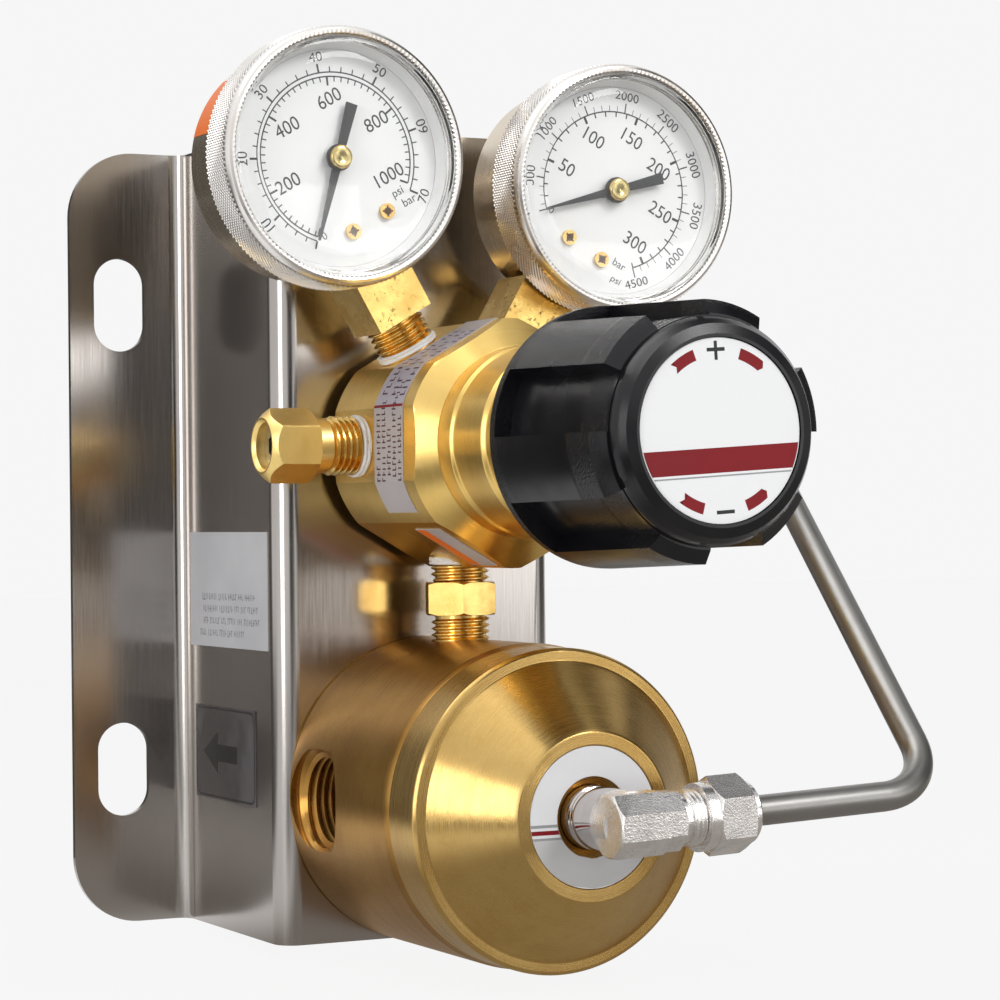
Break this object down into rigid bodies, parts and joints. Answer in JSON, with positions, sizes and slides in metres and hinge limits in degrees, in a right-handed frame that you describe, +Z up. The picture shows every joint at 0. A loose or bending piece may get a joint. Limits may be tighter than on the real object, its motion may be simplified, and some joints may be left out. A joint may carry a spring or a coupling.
{
  "type": "dome-loaded pressure regulator",
  "caption": "Dome-loaded gas pressure regulator on a wall bracket, with a knob-set pilot regulator, dial gauges, relief valve and a bent loading tube to the dome.",
  "frame": {"origin": "middle of the four wall slots, on the wall plane at the back of the flanges", "axes": "+Z up, +Y into the wall, so the knob and gauges face -Y, +X to the right as seen from the front"},
  "size_m": [0.148, 0.1897, 0.2032],
  "materials": {
    "bracket_steel": "brushed stainless",
    "wall_label": "printed film",
    "screw_steel": "plated",
    "body_brass": "satin brushed",
    "cap_brass": "turned",
    "diaphragm_rubber": "matt",
    "plate_aluminium": "turned",
    "valve_brass": "turned",
    "spring_steel": "drawn wire",
    "dome_label": "printed film",
    "fitting_steel": "forged and bright",
    "tube_steel": "drawn stainless",
    "fitting_brass": "turned, taped threads",
    "pilot_brass": "bright machined",
    "diaphragm_steel": "thin sheet",
    "pilot_label": "printed film",
    "knob_plastic": "semi-gloss moulded",
    "knob_label": "printed film",
    "gauge_case": "metallic lacquer",
    "gauge_dial": "white enamel",
    "gauge_pointer": "black",
    "gauge_bezel": "knurled rim",
    "gauge_window": "clear moulded"
  },
  "bodies": {
    "regulator": {"bracket": "bracket_steel", "bracket_labels": "wall_label", "main_mount_screws": "screw_steel", "pilot_mount_screws": "screw_steel", "main_body": "body_brass", "dome_cap": "cap_brass", "main_diaphragm": "diaphragm_rubber", "main_seat": "valve_brass", "main_poppet_spring": "spring_steel", "dome_label": "dome_label", "dome_elbow": "fitting_steel", "dome_tube_nut": "fitting_steel", "dome_ferrules": "fitting_steel", "loading_tube": "tube_steel", "pilot_connector": "fitting_steel", "pilot_tube_nut": "fitting_steel", "pilot_ferrules": "fitting_steel", "hex_nipple": "fitting_brass", "pilot_body": "pilot_brass", "pilot_bonnet": "pilot_brass", "pilot_diaphragm": "diaphragm_steel", "pilot_seat": "valve_brass", "pilot_poppet_spring": "spring_steel", "pilot_labels": "pilot_label", "range_spring": "spring_steel", "relief_body": "fitting_brass", "relief_spring": "spring_steel", "relief_adjuster": "screw_steel", "outlet_gauge_case": "gauge_case", "outlet_gauge_socket": "fitting_brass", "outlet_gauge_tube": "valve_brass", "outlet_gauge_movement": "valve_brass", "outlet_gauge_dial": "gauge_dial", "outlet_gauge_dial_screws": "valve_brass", "outlet_gauge_bezel": "gauge_bezel", "outlet_gauge_window": "gauge_window", "inlet_gauge_case": "gauge_case", "inlet_gauge_socket": "fitting_brass", "inlet_gauge_tube": "valve_brass", "inlet_gauge_movement": "valve_brass", "inlet_gauge_dial": "gauge_dial", "inlet_gauge_dial_screws": "valve_brass", "inlet_gauge_bezel": "gauge_bezel", "inlet_gauge_window": "gauge_window"},
    "knob": {"knob": "knob_plastic", "knob_label": "knob_label", "knob_nut": "screw_steel", "adjusting_screw": "screw_steel"},
    "spring_button": {"spring_button": "valve_brass"},
    "pilot_plate": {"pilot_diaphragm_plate": "plate_aluminium"},
    "pilot_poppet": {"pilot_poppet": "tube_steel"},
    "main_plate": {"main_diaphragm_plate": "plate_aluminium"},
    "main_poppet": {"main_poppet": "valve_brass"},
    "relief_poppet": {"relief_poppet": "valve_brass"},
    "outlet_pointer": {"outlet_gauge_pointer": "gauge_pointer", "outlet_gauge_arbor": "valve_brass"},
    "inlet_pointer": {"inlet_gauge_pointer": "gauge_pointer", "inlet_gauge_arbor": "valve_brass"}
  },
  "joints": [
    {"name": "knob_turn", "type": "hinge", "parent": "regulator", "child": "knob", "pos_m": [0.002, -0.1592, 0.0199], "axis": [0, 1, 0], "range_deg": [0, 1800]},
    {"name": "button_slide", "type": "slide", "parent": "regulator", "child": "spring_button", "axis": [0, 1, 0], "range_m": [0, 0.008], "deforming": ["range_spring"]},
    {"name": "pilot_plate_slide", "type": "slide", "parent": "regulator", "child": "pilot_plate", "axis": [0, 1, 0], "range_m": [0, 0.0008], "deforming": ["pilot_diaphragm"]},
    {"name": "pilot_poppet_slide", "type": "slide", "parent": "regulator", "child": "pilot_poppet", "axis": [0, 1, 0], "range_m": [0, 0.0008], "deforming": ["pilot_poppet_spring"]},
    {"name": "main_plate_slide", "type": "slide", "parent": "regulator", "child": "main_plate", "axis": [0, 1, 0], "range_m": [0, 0.002], "deforming": ["main_diaphragm"]},
    {"name": "main_poppet_slide", "type": "slide", "parent": "regulator", "child": "main_poppet", "axis": [0, 1, 0], "range_m": [0, 0.002], "deforming": ["main_poppet_spring"]},
    {"name": "relief_slide", "type": "slide", "parent": "regulator", "child": "relief_poppet", "axis": [-1, 0, 0], "range_m": [0, 0.0015], "deforming": ["relief_spring"]},
    {"name": "outlet_pointer_turn", "type": "hinge", "parent": "regulator", "child": "outlet_pointer", "pos_m": [-0.03355, -0.0766, 0.08147], "axis": [-0.0076, 1, -0.0044], "range_deg": [0, 270]},
    {"name": "inlet_pointer_turn", "type": "hinge", "parent": "regulator", "child": "inlet_pointer", "pos_m": [0.03515, -0.0766, 0.07732], "axis": [0.0076, 1, -0.0044], "range_deg": [0, 270]}
  ],
  "couplings": [
    {"joint": "button_slide", "follows": "knob_turn", "m_per_rad": 0.00023873},
    {"joint": "pilot_poppet_slide", "follows": "pilot_plate_slide", "ratio": 1},
    {"joint": "main_poppet_slide", "follows": "main_plate_slide", "ratio": 1}
  ]
}
